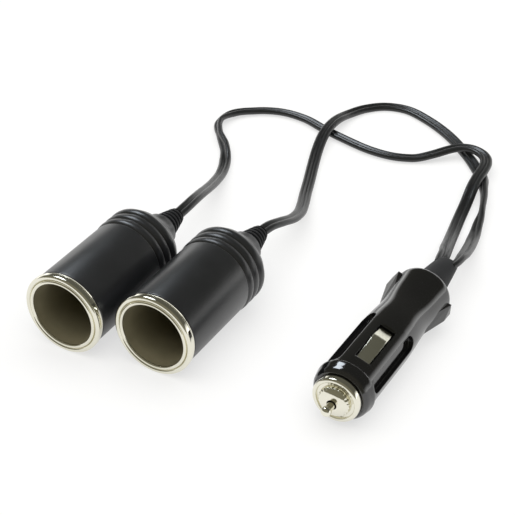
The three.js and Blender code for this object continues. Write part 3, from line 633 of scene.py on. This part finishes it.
# Plug nose: ring with its knurled cap, and the centre pin
RING_EDGE_R = RING_R - RING_ROUND
RING_GROOVE_R = 6.7
RING_SPIGOT_R = 5.8
RING_SPIGOT_END = 0.1
RING_ROOM_R = 3.3
RING_ROOM_FRONT = -5.5
KNURL_HALF_DEPTH = 0.1
PIN_TIP = RING_FRONT - 7.1
PIN_TIP_ROUND = (PIN_HEAD_R, 1.1)


def make_ring():
    front = RING_FRONT
    points = [(PIN_HOLE_R, front - 2.1), (2.45, front - 2.1, 0.3), (3.7, front - 1.82, 0.6),
              (4.75, front - 1.3, 0.6), (CAP_R, front - 0.6, 0.3), (CAP_R, front + 0.9, 0.1),
              (RING_GROOVE_R, front + 0.9, 0.1), (RING_GROOVE_R, front + 0.2, 0.15), (6.95, front, 0.2),
              (RING_EDGE_R, front, 0.3)]
    points += arc((RING_EDGE_R, front + RING_ROUND), (RING_ROUND, RING_ROUND), -90, 90, 8)[1:]
    points += [(RING_R, RING_BACK), (RING_SPIGOT_R, RING_BACK), (RING_SPIGOT_R, RING_SPIGOT_END),
               (RING_ROOM_R, RING_SPIGOT_END), (RING_ROOM_R, RING_ROOM_FRONT), (PIN_HOLE_R, RING_ROOM_FRONT)]
    profile = rounded(points)
    knurled = {i for i, (r, y) in enumerate(profile) if CAP_R - 0.6 < r < CAP_R + 0.1 and y < front + 0.5}

    def knurl(i, r, angle):
        return r - KNURL_HALF_DEPTH * (1 - math.cos(CAP_KNURLS * angle)) if i in knurled else r

    return finish_mesh(lathe("nose_ring", profile, 192, knurl), 35, PLUG, PLUG_ROLL)


def make_pin():
    points = [(0, PIN_TIP), *arc((0, PIN_TIP + PIN_TIP_ROUND[1]), PIN_TIP_ROUND, -90, 90, 8)[1:]]
    points += [(PIN_HEAD_R, PIN_TIP + 2.1, 0.15), (PIN_R, PIN_TIP + 2.5, 0.2), (PIN_R, PIN_FLANGE_FRONT, 0.1),
               (PIN_FLANGE_R, PIN_FLANGE_FRONT, 0.1), (PIN_FLANGE_R, PIN_FLANGE_BACK, 0.1),
               (0, PIN_FLANGE_BACK)]
    return finish_mesh(lathe("centre_pin", rounded(points), 48), 40, PLUG, PLUG_ROLL)


settle(make_ring(), BODY, "nickel_plate", [nickel], "plug_nose_ring")
settle(make_pin(), "pin_and_fuse", "nickel_plate", [nickel], "plug_centre_pin")

# Side contacts: a strip bent over its window, by [y, z] of its top, with rolled edges
LEAF_TOP = [(-1.6, 8.2), (6.0, 8.2), (6.6, 8.26), (15.0, 9.8), (15.7, 9.98), (16.8, 10.1), (17.9, 9.97),
            (18.6, 9.77), (22.6, 8.77), (23.3, 8.55)]
LEAF_EDGE_WIDTH = 0.2
LEAF_EDGE_DROP = 0.12


def make_leaf(name, turn):
    flat = LEAF_HALF_WIDTH - LEAF_EDGE_WIDTH
    section = [(-LEAF_HALF_WIDTH, -LEAF_EDGE_DROP), (-flat, 0), (flat, 0), (LEAF_HALF_WIDTH, -LEAF_EDGE_DROP),
               (LEAF_HALF_WIDTH, -LEAF_THICK), (-LEAF_HALF_WIDTH, -LEAF_THICK)]
    verts = [(x, y, z + drop) for y, z in LEAF_TOP for x, drop in section]
    leaf = add_object(name, verts, tube_faces(len(LEAF_TOP), len(section)))
    return finish_mesh(turned_by(leaf, turn), 25, PLUG, PLUG_ROLL)


for side, turn in (("upper", 0), ("lower", 180)):
    leaf = make_leaf(f"{side}_side_leaf", turn)
    settle(leaf, f"{side}_side_contact", "nickel_plate", [leaf_nickel], f"plug_{side}_side_contact")

# Plug strain relief: a taper from round to a flat oval, by [y, half width, half height]
TAPER_START = CASE_REAR + GAP
TAPER_SIDES = 64
TAPER_FRONT = 54
TAPER_FLANGE_BACK = 55.3
TAPER = [
    (TAPER_FRONT, TAPER_FLANGE_R, TAPER_FLANGE_R), (TAPER_FLANGE_BACK, TAPER_FLANGE_R, TAPER_FLANGE_R),
    (TAPER_FLANGE_BACK, TAPER_NECK_R, TAPER_NECK_R), (TAPER_START, TAPER_NECK_R, TAPER_NECK_R),
    (TAPER_START, 5.9, 5.9), (TAPER_START + 0.35, 6.2, 6.2), (TAPER_START + 1.3, 6.15, 6.1),
    (TAPER_START + 7, 5.6, 4.9), (TAPER_START + 13, 4.95, 3.7), (TAPER_START + 18.6, 4.28, 2.65),
    (TAPER_START + 19.4, 4.1, 2.4), (TAPER_START + 19.9, 3.7, 2.0),
]


def make_taper():
    verts = []
    for y, half_width, half_height in TAPER:
        for k in range(TAPER_SIDES):
            angle = 2 * math.pi * k / TAPER_SIDES
            verts.append((half_width * math.cos(angle), y, half_height * math.sin(angle)))
    taper = add_object("tapered_relief", verts, tube_faces(len(TAPER), TAPER_SIDES))
    return finish_mesh(taper, 40, PLUG)


taper = settle(make_taper(), BODY, "soft_black", [relief_black], "plug_strain_relief")

# The solids that stay take the finish of their slot
FINISHES = {
    "soft_black": soft_black, "gloss_black": gloss_black, "cord_sheath": cord_black, "nickel_plate": nickel,
    "brass": brass, "steel": steel, "fibre_board": board, "fuse_glass": glass,
}
SLOTS = {s["node"]: s["material_slot"] for s in frame["record"]["subparts"]}
for node_name, node in frame["nodes"].items():
    if not node.hide_render:
        node.data.materials.clear()
        node.data.materials.append(FINISHES[SLOTS[node_name]])


# Floor, background and lamps
def shown_rays(tree, shadow_kept):
    """How much of plain white a camera, mirror or glass ray sees in place of the lit colour."""
    path_kind = tree.nodes.new("ShaderNodeLightPath")
    total = path_kind.outputs["Is Camera Ray"]
    for other in ("Is Glossy Ray", "Is Transmission Ray"):
        add = tree.nodes.new("ShaderNodeMath")
        add.operation = "MAXIMUM"
        tree.links.new(total, add.inputs[0])
        tree.links.new(path_kind.outputs[other], add.inputs[1])
        total = add.outputs[0]
    share = tree.nodes.new("ShaderNodeMath")
    share.operation = "MULTIPLY"
    share.inputs[1].default_value = 1 - shadow_kept
    tree.links.new(total, share.inputs[0])
    return share.outputs[0]


def colour_mix(tree):
    """A mix of two colours: the node, its inputs for the factor and the colours, and its output."""
    node = tree.nodes.new("ShaderNodeMix")
    node.data_type = "RGBA"
    return node, node.inputs[6], node.inputs[7], node.outputs[2]


def add_lamp(name, size, energy, location, target, colour=(1, 1, 1)):
    data = bpy.data.lights.new(name, "AREA")
    data.shape = "RECTANGLE"
    data.size, data.size_y = size
    data.energy = energy
    data.color = colour
    lamp = bpy.data.objects.new(name, data)
    bpy.context.scene.collection.objects.link(lamp)
    lamp.location = location
    lamp.rotation_euler = (Vector(target) - Vector(location)).to_track_quat("-Z", "Y").to_euler()
    return lamp


FLOOR_HALF = 3000
FLOOR_FRONT = -600
floor_corners = [(-FLOOR_HALF, FLOOR_FRONT, 0), (FLOOR_HALF, FLOOR_FRONT, 0), (FLOOR_HALF, FLOOR_HALF, 0),
                 (-FLOOR_HALF, FLOOR_HALF, 0)]
floor = add_object("floor", floor_corners, [(0, 1, 2, 3)])
floor_paint, floor_tree, floor_shader = new_material("floor_white")
floor_cloud = noise(floor_tree, 3, 4)
floor_colour = ramp(floor_tree, floor_cloud, "Fac", (0.9, 0.9, 0.9), (0.93, 0.93, 0.93))
link(floor_tree, floor_colour, "Color", floor_shader, "Base Color")
floor_shader.inputs["Roughness"].default_value = 0.9
floor_shader.inputs["Specular IOR Level"].default_value = 0.1
white = floor_tree.nodes.new("ShaderNodeEmission")
over = floor_tree.nodes.new("ShaderNodeMixShader")
floor_tree.links.new(shown_rays(floor_tree, 0.35), over.inputs[0])
link(floor_tree, floor_shader, "BSDF", over, 1)
link(floor_tree, white, "Emission", over, 2)
link(floor_tree, over, "Shader", floor_tree.nodes["Material Output"], "Surface")
floor.data.materials.append(floor_paint)

# Background: a bright sweep behind the table, a dim ceiling and front room; the camera sees plain white
world = bpy.data.worlds.new("studio")
bpy.context.scene.world = world
world.use_nodes = True
sky = world.node_tree
background = sky.nodes["Background"]
background.inputs["Strength"].default_value = 1
direction = sky.nodes.new("ShaderNodeTexCoord")
split = sky.nodes.new("ShaderNodeSeparateXYZ")
link(sky, direction, "Generated", split, "Vector")
sweep = ramp(sky, split, "Z", (2.0, 2.0, 1.97), (0.11, 0.108, 0.09), 0.03, 0.27)
to_back = sky.nodes.new("ShaderNodeMapRange")
to_back.inputs["From Min"].default_value = -0.35
to_back.inputs["From Max"].default_value = 0.15
link(sky, split, "Y", to_back, "Value")
room, front_room, back_room, room_colour = colour_mix(sky)
front_room.default_value = (0.2, 0.19, 0.14, 1)
link(sky, to_back, "Result", room, "Factor")
sky.links.new(sweep.outputs["Color"], back_room)
path_kind = sky.nodes.new("ShaderNodeLightPath")
seen, lit, plain, seen_colour = colour_mix(sky)
plain.default_value = (1, 1, 1, 1)
link(sky, path_kind, "Is Camera Ray", seen, "Factor")
sky.links.new(room_colour, lit)
sky.links.new(seen_colour, background.inputs["Color"])

fill = add_lamp("ceiling_fill", (2.4, 2.4), 36, (0, 0.1, 1.3), (0, 0.1, 0))
fill.visible_glossy = False
window = add_lamp("window_card", (0.36, 0.4), 4, (-0.5, 0.23, 0.78), (0.05, -0.03, 0), (0.85, 0.92, 1))
window.visible_diffuse = False
back = add_lamp("back_card", (0.5, 0.16), 0.3, (0.05, 1.1, 0.38), (0.05, 0, 0.01))
back.visible_diffuse = False

bpy.context.scene.view_settings.view_transform = "Standard"
